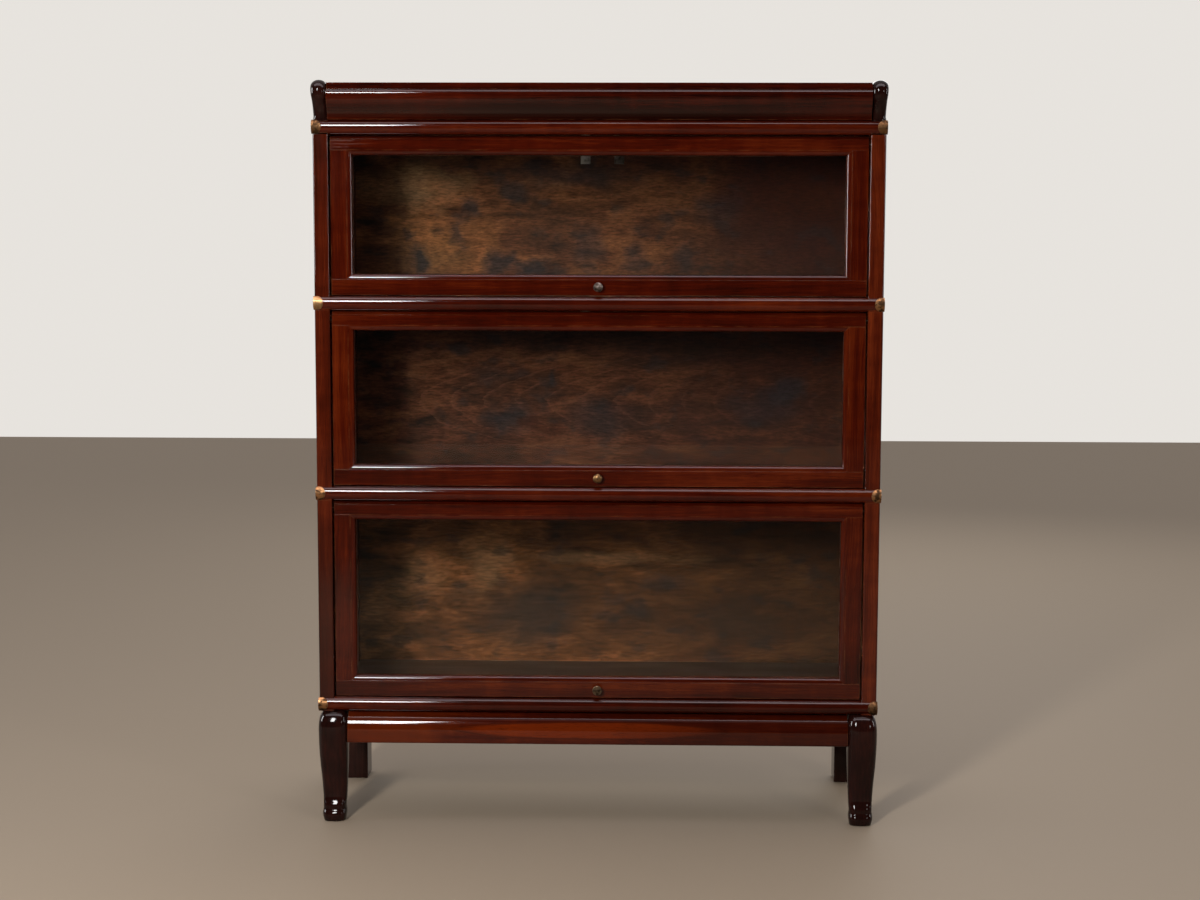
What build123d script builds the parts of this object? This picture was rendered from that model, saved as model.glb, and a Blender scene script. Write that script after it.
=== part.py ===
from build123d import *
import os
from math import acos, cos, degrees, radians, sin

# Sectional barrister bookcase: a legged base, three glazed sections of different heights and a
# cornice.  Millimetres, +X to the right seen from the front, +Y to the back, +Z up.
# The origin is at floor level, in the middle of the width and of the depth.

# ---- Overall size ---------------------------------------------------------------------------
CASE_WIDTH = 871.0            # over the two side boards
CAP_TO_BACK = 292.0           # depth from the front of the brass caps to the back of the case
FRONT_OVERHANG = 12.0         # cornice scrolls and leg knees stand this far in front of the caps
BASE_HEIGHT = 175.0
SECTION_HEIGHTS = {"lower": 333.0, "middle": 294.0, "upper": 267.0}
CORNICE_HEIGHT = 81.5

# ---- Boards and bands -----------------------------------------------------------------------
SIDE_THICKNESS = 23.5
SIDE_SETBACK = 6.0            # front edge of the side boards, behind the front of the caps
SIDE_OUTER_ROUND = 4.0        # rounding of the side boards' front edges
SIDE_INNER_ROUND = 2.5
SHELF_THICKNESS = 14.0
BACK_THICKNESS = 8.0
BACK_REBATE = 8.0             # how far the back panel is let into each side board
BAND_THICKNESS = 1.0
BAND_EDGE = 1.0               # the bands are this much lower and narrower than the nose rails
NOSE_HEIGHT = 22.0            # half-round rail at the foot of every section
NOSE_SETBACK = 1.5            # front of the half round, behind the front of the caps
CAP_WIDTH = 15.0
CAP_LAP = 9.0                 # how far a nose rail runs into each cap
SCREW_INSET = 30.0            # first and last screw, from the ends of a band
SCREW_RADIUS = 3.0
SLOT_WIDTH = 0.8
SLOT_DEPTH = 0.8

# ---- Doors ----------------------------------------------------------------------------------
DOOR_SIDE_GAP = 2.5
DOOR_EDGE_GAP = 1.5           # above and below each door
DOOR_SETBACK = 12.0           # door face, behind the front of the caps
DOOR_THICKNESS = 20.0
STILE_FACE = 24.5             # flat widths, without the moulded inner edge
TOP_RAIL_FACE = 21.5
BOTTOM_RAIL_FACE = 24.0
OVOLO = 8.0                   # width of the moulded inner edge
OVOLO_STEP = 0.8              # small step between the flat and the moulding
OVOLO_DEPTH = 6.0
GLASS_SEAT = 8.0              # glass face, behind the door face
GLASS_THICKNESS = 3.0
GLASS_MARGIN = 1.0            # glass edge, short of the rebate
KNOB_HEIGHT = 13.0            # above the door's bottom edge
KNOB_LENGTH = 14.0
KNOB_RADIUS = 7.5
KNOB_COLLAR_RADIUS = 6.0
KNOB_COLLAR = 2.0             # distances out from the door: collar, head and rim
KNOB_NECK_RADIUS = 4.0
KNOB_HEAD = 6.5
KNOB_RIM = 10.0
KNOB_BEVEL = 1.5

# ---- Lift-and-slide gear --------------------------------------------------------------------
PIN_RADIUS = 3.0
PIN_CLEARANCE = 0.05
PIN_DROP = 12.0               # pin centre, below the door's top edge
PIN_REACH = 12.5              # length of the pin inside the door
TURNING_RADIUS = 12.2         # top front edge of the door, rounded about the pin
SLIDE_TRAVEL = {"lower": 215.0, "middle": 209.0, "upper": 184.0}
GROOVE_DEPTH = 8.0
GROOVE_HEIGHT = 12.0
RUNNER_THICKNESS = 6.0
RUNNER_HEIGHT = 11.0
RUNNER_FRONT = 8.0            # runner length in front of and behind the pin
RUNNER_BACK = 31.0
RUNNER_END_ROOM = 4.0
CROSSBAR_WIDTH = 12.0
CROSSBAR_THICKNESS = 3.0
CROSSBAR_AHEAD = 17.0         # front edge of the crossbar, behind the pin
CROSSBAR_DROP = 0.5           # top of the crossbar, below the pin centre
ARM_LENGTH = 370.0            # equaliser arm, between pivot and tip centres
ARM_WIDTH = 14.0
ARM_THICKNESS = 2.0
ARM_RAISE = 1.5               # underside of the arms, above the pin centre
ARM_TIP_BEHIND_PIN = 31.5     # tip centre with the door closed
ARM_PIVOT_X = 28.0
ARM_PIVOT_FROM_BACK = 12.0    # pivot centre, in front of the back panel
BRACKET_THICKNESS = 2.0
BRACKET_WIDTH = 16.0
BRACKET_DROP = 18.0           # foot of the bracket, below the pin centre
BRACKET_RAISE = 5.0           # underside of the bracket's shelf, above the pin centre
RIVET_RADIUS = 3.0
RIVET_HEAD_RADIUS = 5.0
RIVET_HEAD = 1.0
RIVET_HEAD_GAP = 0.1          # play between the rivet's head and the arm

# ---- Base -----------------------------------------------------------------------------------
LEG_WIDTH = 46.0
LEG_DEPTH = 45.0
LEG_PROUD = 0.5               # the front legs stand this far outside the bands
LEG_TOP_SETBACK = 12.0        # front of the leg's top, behind its knee
KNEE_DROP = 24.0              # the knee is widest this far below the leg's top
ANKLE_SETBACK = 14.0          # front of the ankle and of the toe, behind the knee
TOE_SETBACK = 6.0
SOLE_SETBACK = 9.0
HEEL_INSET = 7.0              # back of the foot, in front of the back of the knee
FOOT_INNER_TAPER = 3.5        # how much the leg loses on its inner and outer side at the foot
FOOT_OUTER_TAPER = 6.0
ANKLE_HEIGHT = 32.0
FOOT_HEIGHT = 14.0            # height of the toe
REAR_LEG_WIDTH = 40.0
REAR_LEG_FRONT = 244.0        # front face of the rear legs, behind the front of the caps
REAR_LEG_DEPTH = 46.0
APRON_BOTTOM = 125.5
APRON_THICKNESS = 34.0
APRON_CROWN = 31.0            # radius of the rounded top edge
APRON_LIP = 3.0               # radius of the rounded bottom edge
BASE_RAIL_THICKNESS = 20.0

# ---- Cornice --------------------------------------------------------------------------------
CORNICE_PANEL_TOP = 77.0      # heights above the cornice's foot
CORNICE_PANEL_THICKNESS = 12.0
SCROLL_RADIUS = 19.0
SCROLL_TURN = 140.0           # degrees of full round on the scroll, from its top forward
SCROLL_TAIL = 40.0            # the scroll's top runs down to the panel over this length
SWEEP_OUT = 6.0               # the S below the scroll passes this far in front of its lower end
SWEEP_RISE = 10.0             # and this far above it
MOULDING_SETBACK = 4.0        # front of the moulding, behind the scrolls
MOULDING_FILLET = 10.0
BEAD_RADIUS = 7.0             # quarter round below the fillet
SWELL_RADIUS = 30.0           # long curve that turns under, down to the hollow
SWELL_TURN = 35.0             # degrees
MOULDING_DEPTH = 38.0

# ---- Positions worked out from the sizes above ----------------------------------------------
TOTAL_DEPTH = CAP_TO_BACK + FRONT_OVERHANG
FRONT_Y = -TOTAL_DEPTH / 2
CAP_Y = FRONT_Y + FRONT_OVERHANG
BACK_Y = TOTAL_DEPTH / 2
OUTER_X = CASE_WIDTH / 2
INNER_X = OUTER_X - SIDE_THICKNESS
BAND_X = OUTER_X + BAND_THICKNESS
CAP_INNER_X = BAND_X - CAP_WIDTH
SIDE_Y = CAP_Y + SIDE_SETBACK
PANEL_Y = BACK_Y - BACK_THICKNESS
DOOR_Y = CAP_Y + DOOR_SETBACK
DOOR_BACK_Y = DOOR_Y + DOOR_THICKNESS
DOOR_X = INNER_X - DOOR_SIDE_GAP
PIN_Y = DOOR_Y + DOOR_THICKNESS / 2
NOSE_RADIUS = NOSE_HEIGHT / 2
NOSE_AXIS_Y = CAP_Y + NOSE_SETBACK + NOSE_RADIUS
GROOVE_X = INNER_X + GROOVE_DEPTH
RUNNER_GAP = (GROOVE_DEPTH - RUNNER_THICKNESS) / 2
RUNNER_X = INNER_X + RUNNER_GAP
PIVOT_Y = PANEL_Y - ARM_PIVOT_FROM_BACK
MOULDING_Y = FRONT_Y + MOULDING_SETBACK


def stack_levels():
    """Bottom height of each section, and of the cornice, from the floor up."""
    levels = {}
    height = BASE_HEIGHT
    for name, section_height in SECTION_HEIGHTS.items():
        levels[name] = height
        height += section_height
    levels["cornice"] = height
    return levels


LEVELS = stack_levels()
TOP_Z = LEVELS["cornice"] + CORNICE_HEIGHT


def door_span(name):
    """Bottom and top of a section's door."""
    bottom = LEVELS[name] + NOSE_HEIGHT + DOOR_EDGE_GAP
    top = LEVELS[name] + SECTION_HEIGHTS[name] - DOOR_EDGE_GAP
    return bottom, top


def pin_height(name):
    return door_span(name)[1] - PIN_DROP


# ---- Shape helpers --------------------------------------------------------------------------
def block(x, y, z):
    """A box from three (low, high) pairs."""
    size = [pair[1] - pair[0] for pair in (x, y, z)]
    middle = [(pair[0] + pair[1]) / 2 for pair in (x, y, z)]
    return Pos(*middle) * Box(*size)


def along_x(face, x):
    """Extrude a face drawn in (Y, Z) from x[0] to x[1]."""
    return Pos(x[0], 0, 0) * extrude(Plane.YZ * face, amount=x[1] - x[0])


def along_y(face, y):
    """Extrude a face drawn in (X, Z) from y[0] to y[1]."""
    return Pos(0, y[0], 0) * extrude(Plane.XZ * face, amount=y[0] - y[1])


def along_z(face, z):
    """Extrude a face drawn in (X, Y) from z[0] to z[1]."""
    return Pos(0, 0, z[0]) * extrude(face, amount=z[1] - z[0])


def outline(*points):
    return make_face(Polyline(*points, close=True))


def mirrored(shape):
    return mirror(shape, about=Plane.YZ)


def pair(shape):
    """A shape on the right-hand side and its mirror image on the left."""
    return Compound(children=[shape, mirrored(shape)])


def rod_x(radius, x, y, z):
    return Pos((x[0] + x[1]) / 2, y, z) * Rot(0, 90, 0) * Cylinder(radius, x[1] - x[0])


def rod_y(radius, x, y, z):
    return Pos(x, (y[0] + y[1]) / 2, z) * Rot(90, 0, 0) * Cylinder(radius, y[1] - y[0])


def rod_z(radius, x, y, z):
    return Pos(x, y, (z[0] + z[1]) / 2) * Cylinder(radius, z[1] - z[0])


# ---- Case of one section --------------------------------------------------------------------
def rounded_front_edge(board, side, radius):
    """Round an upright front edge of a board: side 0 is the inner edge, -1 the outer one."""
    edge = board.edges().filter_by(Axis.Z).group_by(Axis.Y)[0].sort_by(Axis.X)[side]
    return fillet(edge, radius)


def side_board(name):
    """Right-hand side board: rebated for the back panel and grooved for the door's runner."""
    bottom = LEVELS[name]
    top = bottom + SECTION_HEIGHTS[name]
    pin_z = pin_height(name)
    board = block((INNER_X, OUTER_X), (SIDE_Y, BACK_Y), (bottom, top))
    board = rounded_front_edge(board, -1, SIDE_OUTER_ROUND)
    board = rounded_front_edge(board, 0, SIDE_INNER_ROUND)
    rebate = block((INNER_X, INNER_X + BACK_REBATE), (PANEL_Y, BACK_Y), (bottom, top))
    groove_front = PIN_Y - RUNNER_FRONT - RUNNER_GAP
    groove_back = PIN_Y + RUNNER_BACK + SLIDE_TRAVEL[name] + RUNNER_END_ROOM
    groove_z = (pin_z - GROOVE_HEIGHT / 2, pin_z + GROOVE_HEIGHT / 2)
    groove = block((INNER_X, GROOVE_X), (groove_front, groove_back), groove_z)
    return board - rebate - groove


def shelf(name):
    """Bottom board of a section, flush with the top of its nose rail."""
    top = LEVELS[name] + NOSE_HEIGHT
    return block((-INNER_X, INNER_X), (DOOR_BACK_Y, PANEL_Y), (top - SHELF_THICKNESS, top))


def nose_rail(name):
    """Half-round rail: its front laps over the side boards and ends inside the brass caps."""
    bottom = LEVELS[name]
    top = bottom + NOSE_HEIGHT
    axis_z = bottom + NOSE_RADIUS
    lap_x = CAP_INNER_X + CAP_LAP
    bar = rod_x(NOSE_RADIUS, (-lap_x, lap_x), NOSE_AXIS_Y, axis_z)
    bar += block((-lap_x, lap_x), (NOSE_AXIS_Y, DOOR_BACK_Y), (bottom, top))
    lap = block((INNER_X, lap_x), (SIDE_Y, DOOR_BACK_Y), (bottom, top))
    return bar - lap - mirrored(lap)


def back_panel(name):
    bottom = LEVELS[name]
    half_width = INNER_X + BACK_REBATE
    return block((-half_width, half_width), (PANEL_Y, BACK_Y), (bottom, bottom + SECTION_HEIGHTS[name]))


# ---- Bands at the joints between the sections -----------------------------------------------
def band_cap(level):
    """Brass cap over the right-hand end of a nose rail: half round, with a rounded inner end."""
    axis_z = level + NOSE_RADIUS
    radius = NOSE_AXIS_Y - CAP_Y
    bar = rod_x(radius, (CAP_INNER_X, BAND_X), NOSE_AXIS_Y, axis_z)
    end_x = CAP_INNER_X + NOSE_RADIUS
    front = rod_y(NOSE_RADIUS, end_x, (CAP_Y, SIDE_Y), axis_z)
    front += block((end_x, BAND_X), (CAP_Y, SIDE_Y), (level, level + NOSE_HEIGHT))
    rail_end = rod_x(NOSE_RADIUS, (CAP_INNER_X, CAP_INNER_X + CAP_LAP), NOSE_AXIS_Y, axis_z)
    return (bar & front) - rail_end


def band_span(level):
    return level + BAND_EDGE, level + NOSE_HEIGHT - BAND_EDGE


def band_screw_places():
    """Distances of the three screws along a band."""
    first = SIDE_Y + SCREW_INSET
    last = BACK_Y - SCREW_INSET
    return first, (first + last) / 2, last


def side_band(level):
    """Flat steel band along the right-hand side, behind its cap, drilled for three screws."""
    bottom, top = band_span(level)
    band = block((OUTER_X, BAND_X), (SIDE_Y, BACK_Y), (bottom, top))
    for y in band_screw_places():
        band -= rod_x(SCREW_RADIUS, (OUTER_X, BAND_X), y, (bottom + top) / 2)
    return band


def band_screw(level, y):
    """Screw head that fills a hole of the band, with a slot across it."""
    middle = sum(band_span(level)) / 2
    head = rod_x(SCREW_RADIUS, (OUTER_X, BAND_X), y, middle)
    slot_z = (middle - SCREW_RADIUS, middle + SCREW_RADIUS)
    return head - block((BAND_X - SLOT_DEPTH, BAND_X), (y - SLOT_WIDTH / 2, y + SLOT_WIDTH / 2), slot_z)


# ---- Door -----------------------------------------------------------------------------------
def frame_section(face_width, place):
    """Section of a door member; place turns (distance across, distance back) into a point."""
    inner = face_width + OVOLO
    curve_depth = OVOLO_DEPTH - OVOLO_STEP
    shoulder = (
        face_width + OVOLO * sin(radians(45)),
        OVOLO_STEP + curve_depth * (1 - cos(radians(45))),
    )
    moulding = ThreePointArc(place(face_width, OVOLO_STEP), place(*shoulder), place(inner, OVOLO_DEPTH))
    rest = Polyline(
        place(inner, OVOLO_DEPTH),
        place(inner, GLASS_SEAT),
        place(face_width, GLASS_SEAT),
        place(face_width, DOOR_THICKNESS),
        place(0, DOOR_THICKNESS),
        place(0, 0),
        place(face_width, 0),
        place(face_width, OVOLO_STEP),
    )
    return make_face([moulding, rest])


def rail_region(outer_z, face_width, inward):
    """Outline of a through rail: full width, then its moulding mitred between the stiles."""
    flat_z = outer_z + inward * face_width
    sight_z = flat_z + inward * OVOLO
    flat_x = DOOR_X - STILE_FACE
    sight_x = flat_x - OVOLO
    return outline(
        (-DOOR_X, outer_z),
        (DOOR_X, outer_z),
        (DOOR_X, flat_z),
        (flat_x, flat_z),
        (sight_x, sight_z),
        (-sight_x, sight_z),
        (-flat_x, flat_z),
        (-DOOR_X, flat_z),
    )


def top_rail(name):
    """Through rail with a top front edge rounded about the pin and a pin hole in each end."""
    top = door_span(name)[1]
    pin_z = pin_height(name)
    section = frame_section(TOP_RAIL_FACE, lambda across, back: (DOOR_Y + back, top - across))
    rail = along_x(section, (-DOOR_X, DOOR_X))
    rail &= along_y(rail_region(top, TOP_RAIL_FACE, -1), (DOOR_Y, DOOR_BACK_Y))
    corner = block((-DOOR_X, DOOR_X), (DOOR_Y, PIN_Y), (pin_z, top))
    corner -= rod_x(TURNING_RADIUS, (-DOOR_X, DOOR_X), PIN_Y, pin_z)
    hole = rod_x(PIN_RADIUS + PIN_CLEARANCE, (DOOR_X - PIN_REACH, DOOR_X), PIN_Y, pin_z)
    return rail - corner - hole - mirrored(hole)


def bottom_rail(name):
    bottom = door_span(name)[0]
    section = frame_section(BOTTOM_RAIL_FACE, lambda across, back: (DOOR_Y + back, bottom + across))
    rail = along_x(section, (-DOOR_X, DOOR_X))
    return rail & along_y(rail_region(bottom, BOTTOM_RAIL_FACE, 1), (DOOR_Y, DOOR_BACK_Y))


def stile(name):
    """Right-hand stile between the rails, with its moulding mitred at both ends."""
    bottom, top = door_span(name)
    low = bottom + BOTTOM_RAIL_FACE
    high = top - TOP_RAIL_FACE
    flat_x = DOOR_X - STILE_FACE
    sight_x = flat_x - OVOLO
    section = frame_section(STILE_FACE, lambda across, back: (DOOR_X - across, DOOR_Y + back))
    region = outline(
        (DOOR_X, low),
        (flat_x, low),
        (sight_x, low + OVOLO),
        (sight_x, high - OVOLO),
        (flat_x, high),
        (DOOR_X, high),
    )
    return along_z(section, (low, high)) & along_y(region, (DOOR_Y, DOOR_BACK_Y))


def rebate_opening(name):
    """Half width, bottom and top of the rebate that holds a door's glass."""
    bottom, top = door_span(name)
    return DOOR_X - STILE_FACE, bottom + BOTTOM_RAIL_FACE, top - TOP_RAIL_FACE


def door_glass(name):
    half_width, bottom, top = rebate_opening(name)
    face = DOOR_Y + GLASS_SEAT
    return block(
        (GLASS_MARGIN - half_width, half_width - GLASS_MARGIN),
        (face, face + GLASS_THICKNESS),
        (bottom + GLASS_MARGIN, top - GLASS_MARGIN),
    )


def glazing_beads(name):
    """Four strips that hold the glass from behind, the upright ones between the other two."""
    half_width, bottom, top = rebate_opening(name)
    depth = (DOOR_Y + GLASS_SEAT + GLASS_THICKNESS, DOOR_BACK_Y)
    low = block((-half_width, half_width), depth, (bottom, bottom + OVOLO))
    high = block((-half_width, half_width), depth, (top - OVOLO, top))
    upright = block((half_width - OVOLO, half_width), depth, (bottom + OVOLO, top - OVOLO))
    return Compound(children=[low, high, upright, mirrored(upright)])


def knob(name):
    """Turned knob: a small collar, a slim neck and a domed head."""
    height = door_span(name)[0] + KNOB_HEIGHT
    profile = make_face(
        [
            Polyline(
                (0, KNOB_LENGTH),
                (0, 0),
                (KNOB_COLLAR_RADIUS, 0),
                (KNOB_COLLAR_RADIUS, KNOB_COLLAR),
                (KNOB_NECK_RADIUS, KNOB_COLLAR + KNOB_BEVEL),
                (KNOB_NECK_RADIUS, KNOB_HEAD),
                (KNOB_RADIUS, KNOB_HEAD + KNOB_BEVEL),
                (KNOB_RADIUS, KNOB_RIM),
            ),
            Spline((KNOB_RADIUS, KNOB_RIM), (0, KNOB_LENGTH), tangents=[(0, 1), (-1, 0)]),
        ]
    )
    turned = revolve(profile, axis=Axis.Y)
    return Pos(0, DOOR_Y, height) * Rot(180, 0, 0) * turned


# ---- Lift-and-slide gear --------------------------------------------------------------------
def pivot_pin(name):
    return rod_x(PIN_RADIUS, (DOOR_X - PIN_REACH, RUNNER_X), PIN_Y, pin_height(name))


def slide_carriage(name):
    """Two runner bars in the side grooves, and the crossbar behind the door that joins them."""
    pin_z = pin_height(name)
    runner = block(
        (RUNNER_X, RUNNER_X + RUNNER_THICKNESS),
        (PIN_Y - RUNNER_FRONT, PIN_Y + RUNNER_BACK),
        (pin_z - RUNNER_HEIGHT / 2, pin_z + RUNNER_HEIGHT / 2),
    )
    bar_front = PIN_Y + CROSSBAR_AHEAD
    bar_top = pin_z - CROSSBAR_DROP
    crossbar = block(
        (-RUNNER_X, RUNNER_X),
        (bar_front, bar_front + CROSSBAR_WIDTH),
        (bar_top - CROSSBAR_THICKNESS, bar_top),
    )
    return Compound(children=[runner, mirrored(runner), crossbar])


def arm_angles(name):
    """Angle of the right-hand arm from straight ahead, with the door closed and pushed back."""
    closed_reach = PIVOT_Y - PIN_Y - ARM_TIP_BEHIND_PIN
    open_reach = closed_reach - SLIDE_TRAVEL[name]
    return degrees(acos(closed_reach / ARM_LENGTH)), degrees(acos(open_reach / ARM_LENGTH))


def equaliser_arm(name):
    """Right-hand arm, with a hole for its rivet at the back and a rounded tip at the front."""
    closed = arm_angles(name)[0]
    low = pin_height(name) + ARM_RAISE
    strip = along_z(SlotCenterToCenter(ARM_LENGTH, ARM_WIDTH), (low, low + ARM_THICKNESS))
    strip = Pos(ARM_PIVOT_X, PIVOT_Y, 0) * Rot(0, 0, closed - 90) * Pos(ARM_LENGTH / 2, 0, 0) * strip
    hole_radius = RIVET_RADIUS + PIN_CLEARANCE
    return strip - rod_z(hole_radius, ARM_PIVOT_X, PIVOT_Y, (low, low + ARM_THICKNESS))


def equaliser_bracket(name):
    """Right-hand angle bracket on the back panel, which carries an arm's rivet."""
    pin_z = pin_height(name)
    shelf_z = pin_z + BRACKET_RAISE
    width = (ARM_PIVOT_X - BRACKET_WIDTH / 2, ARM_PIVOT_X + BRACKET_WIDTH / 2)
    plate_y = (PANEL_Y - BRACKET_THICKNESS, PANEL_Y)
    plate = block(width, plate_y, (pin_z - BRACKET_DROP, shelf_z + BRACKET_THICKNESS))
    ledge_y = (PIVOT_Y - BRACKET_WIDTH / 2, PANEL_Y)
    ledge = block(width, ledge_y, (shelf_z, shelf_z + BRACKET_THICKNESS))
    hole = rod_z(RIVET_RADIUS, ARM_PIVOT_X, PIVOT_Y, (shelf_z, shelf_z + BRACKET_THICKNESS))
    return plate + ledge - hole


def equaliser_rivet(name):
    """Rivet that hangs an arm under its bracket."""
    pin_z = pin_height(name)
    arm_low = pin_z + ARM_RAISE
    ledge_top = pin_z + BRACKET_RAISE + BRACKET_THICKNESS
    shank = rod_z(RIVET_RADIUS, ARM_PIVOT_X, PIVOT_Y, (arm_low - RIVET_HEAD, ledge_top))
    head_z = (arm_low - RIVET_HEAD, arm_low - RIVET_HEAD_GAP)
    return shank + rod_z(RIVET_HEAD_RADIUS, ARM_PIVOT_X, PIVOT_Y, head_z)


# ---- Base -----------------------------------------------------------------------------------
def leg_side_outline():
    """Side view of a front leg in (Y, Z): knee, long taper, ankle, then a small toe."""
    back = FRONT_Y + LEG_DEPTH
    top = (FRONT_Y + LEG_TOP_SETBACK, BASE_HEIGHT)
    knee = (FRONT_Y, BASE_HEIGHT - KNEE_DROP)
    ankle = (FRONT_Y + ANKLE_SETBACK, ANKLE_HEIGHT)
    toe = (FRONT_Y + TOE_SETBACK, FOOT_HEIGHT)
    sole = (FRONT_Y + SOLE_SETBACK, 0)
    heel = (back - HEEL_INSET, 0)
    return make_face(
        [
            Spline(top, knee, tangents=[(-1, -0.3), (0, -1)]),
            Spline(knee, ankle, tangents=[(0, -1), (0, -1)]),
            Spline(ankle, toe, tangents=[(0, -1), (0, -1)]),
            Polyline(toe, sole, heel, (back, BASE_HEIGHT - KNEE_DROP), (back, BASE_HEIGHT), top),
        ]
    )


def leg_edges():
    """Inner and outer X of the right-hand front leg."""
    outer = BAND_X + LEG_PROUD
    return outer - LEG_WIDTH, outer


def front_leg():
    """Right-hand front leg."""
    inner, outer = leg_edges()
    side_view = along_x(leg_side_outline(), (inner, outer))
    front_view = outline(
        (inner, BASE_HEIGHT),
        (inner + FOOT_INNER_TAPER, 0),
        (outer - FOOT_OUTER_TAPER, 0),
        (outer - FOOT_OUTER_TAPER, ANKLE_HEIGHT),
        (outer, BASE_HEIGHT - KNEE_DROP),
        (outer, BASE_HEIGHT),
    )
    return side_view & along_y(front_view, (FRONT_Y, FRONT_Y + LEG_DEPTH))


def rear_leg():
    outer = OUTER_X
    front = CAP_Y + REAR_LEG_FRONT
    return block((outer - REAR_LEG_WIDTH, outer), (front, front + REAR_LEG_DEPTH), (0, BASE_HEIGHT))


def quarter_round(centre, radius, start):
    """Quarter circle in (Y, Z) about a centre, from a start angle in degrees on."""
    return CenterArc(centre, radius, start, 90)


def apron():
    """Front rail of the base, with a large round along its top and a small one along its bottom."""
    back = CAP_Y + APRON_THICKNESS
    crown_y = CAP_Y + APRON_CROWN
    crown_z = BASE_HEIGHT - APRON_CROWN
    lip_y = CAP_Y + APRON_LIP
    lip_z = APRON_BOTTOM + APRON_LIP
    inner = leg_edges()[0]
    section = make_face(
        [
            quarter_round((crown_y, crown_z), APRON_CROWN, 90),
            Line((CAP_Y, crown_z), (CAP_Y, lip_z)),
            quarter_round((lip_y, lip_z), APRON_LIP, 180),
            Line((lip_y, APRON_BOTTOM), (back, APRON_BOTTOM)),
            Line((back, APRON_BOTTOM), (back, BASE_HEIGHT)),
            Line((back, BASE_HEIGHT), (crown_y, BASE_HEIGHT)),
        ]
    )
    return along_x(section, (-inner, inner))


def base_side_rail():
    front = FRONT_Y + LEG_DEPTH
    outer = OUTER_X
    return block(
        (outer - BASE_RAIL_THICKNESS, outer), (front, CAP_Y + REAR_LEG_FRONT), (APRON_BOTTOM, BASE_HEIGHT)
    )


def base_back_rail():
    back = CAP_Y + REAR_LEG_FRONT + REAR_LEG_DEPTH
    inner = OUTER_X - REAR_LEG_WIDTH
    return block((-inner, inner), (back - BASE_RAIL_THICKNESS, back), (APRON_BOTTOM, BASE_HEIGHT))


# ---- Cornice --------------------------------------------------------------------------------
def cornice_end():
    """Right-hand end piece: a scroll at the top front that runs down in an S to the nose rail."""
    foot = LEVELS["cornice"]
    nose_top = foot + NOSE_HEIGHT
    scroll_y = FRONT_Y + SCROLL_RADIUS
    scroll_z = TOP_Z - SCROLL_RADIUS
    panel_top = foot + CORNICE_PANEL_TOP
    scroll = CenterArc((scroll_y, scroll_z), SCROLL_RADIUS, 90, SCROLL_TURN)
    front = [
        scroll,
        Spline(scroll @ 1, (SIDE_Y - SWEEP_OUT, nose_top + SWEEP_RISE), (SIDE_Y, nose_top)),
        Polyline(
            (SIDE_Y, nose_top),
            (SIDE_Y, foot),
            (BACK_Y, foot),
            (BACK_Y, panel_top),
            (scroll_y + SCROLL_TAIL, panel_top),
            (scroll_y, TOP_Z),
        ),
    ]
    band_room = block((OUTER_X, BAND_X), (SIDE_Y, BACK_Y), (foot, nose_top))
    return along_x(make_face(front), (INNER_X, BAND_X)) - band_room


def cornice_moulding():
    """Front moulding between the end pieces: a fillet, an ogee below it, and an upright foot."""
    nose_top = LEVELS["cornice"] + NOSE_HEIGHT
    top = LEVELS["cornice"] + CORNICE_PANEL_TOP
    back = MOULDING_Y + MOULDING_DEPTH
    bead_y = MOULDING_Y + BEAD_RADIUS
    bead_top = top - MOULDING_FILLET
    bead_z = bead_top - BEAD_RADIUS
    bead_offset = BEAD_RADIUS * cos(radians(45))
    swell_y = MOULDING_Y + SWELL_RADIUS

    def on_swell(turn):
        """Point of the long curve after this many degrees."""
        return swell_y - SWELL_RADIUS * cos(radians(turn)), bead_z - SWELL_RADIUS * sin(radians(turn))

    join_y, join_z = on_swell(SWELL_TURN)
    hollow_radius = (join_z - nose_top) / sin(radians(SWELL_TURN))
    foot_y = join_y + hollow_radius * (1 - cos(radians(SWELL_TURN)))
    hollow_y = foot_y - hollow_radius * (1 - cos(radians(SWELL_TURN / 2)))
    hollow_z = nose_top + hollow_radius * sin(radians(SWELL_TURN / 2))
    section = make_face(
        [
            Polyline((back, nose_top), (back, top), (bead_y, top), (bead_y, bead_top)),
            ThreePointArc(
                (bead_y, bead_top), (bead_y - bead_offset, bead_z + bead_offset), (MOULDING_Y, bead_z)
            ),
            ThreePointArc((MOULDING_Y, bead_z), on_swell(SWELL_TURN / 2), (join_y, join_z)),
            ThreePointArc((join_y, join_z), (hollow_y, hollow_z), (foot_y, nose_top)),
            Line((foot_y, nose_top), (back, nose_top)),
        ]
    )
    return along_x(section, (-INNER_X, INNER_X))


def cornice_panel():
    top = LEVELS["cornice"] + CORNICE_PANEL_TOP
    front = MOULDING_Y + MOULDING_DEPTH
    return block((-INNER_X, INNER_X), (front, BACK_Y), (top - CORNICE_PANEL_THICKNESS, top))


def cornice_back_rail():
    foot = LEVELS["cornice"]
    top = foot + CORNICE_PANEL_TOP - CORNICE_PANEL_THICKNESS
    return block((-INNER_X, INNER_X), (BACK_Y - BASE_RAIL_THICKNESS, BACK_Y), (foot, top))


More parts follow.
